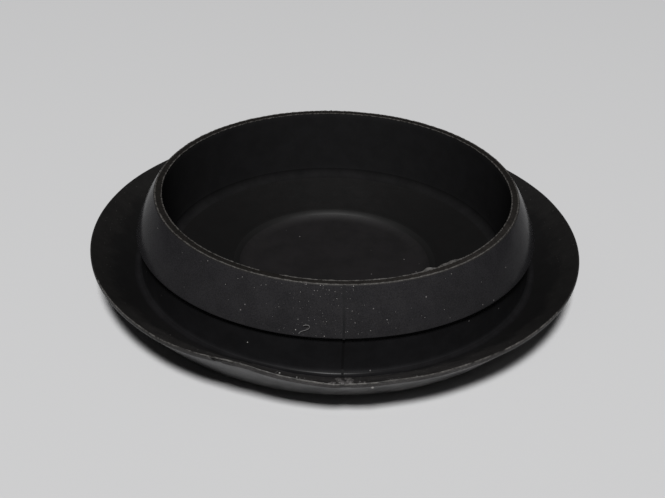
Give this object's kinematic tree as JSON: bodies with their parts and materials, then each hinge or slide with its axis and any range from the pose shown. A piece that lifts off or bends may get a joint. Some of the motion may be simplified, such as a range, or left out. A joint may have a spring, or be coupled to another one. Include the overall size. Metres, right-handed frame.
{
  "type": "rubber body plug",
  "caption": "Round push-in rubber plug that closes a hole in sheet metal: flat face, dished sealing lip, barbed snap-in collar and shallow cup.",
  "frame": {"origin": "centre of the flat closed face, which the plug lies on", "axes": "+Z is the plug's axis, from the closed face towards the open end of the collar; X and Y are equivalent radii"},
  "size_m": [0.064, 0.064, 0.0133],
  "materials": {
    "black_rubber": "moulded black rubber, satin on the collar and matt on the lip, with fine mould lines and dust"
  },
  "bodies": {
    "root": {"body_plug": "black_rubber"}
  },
  "joints": []
}
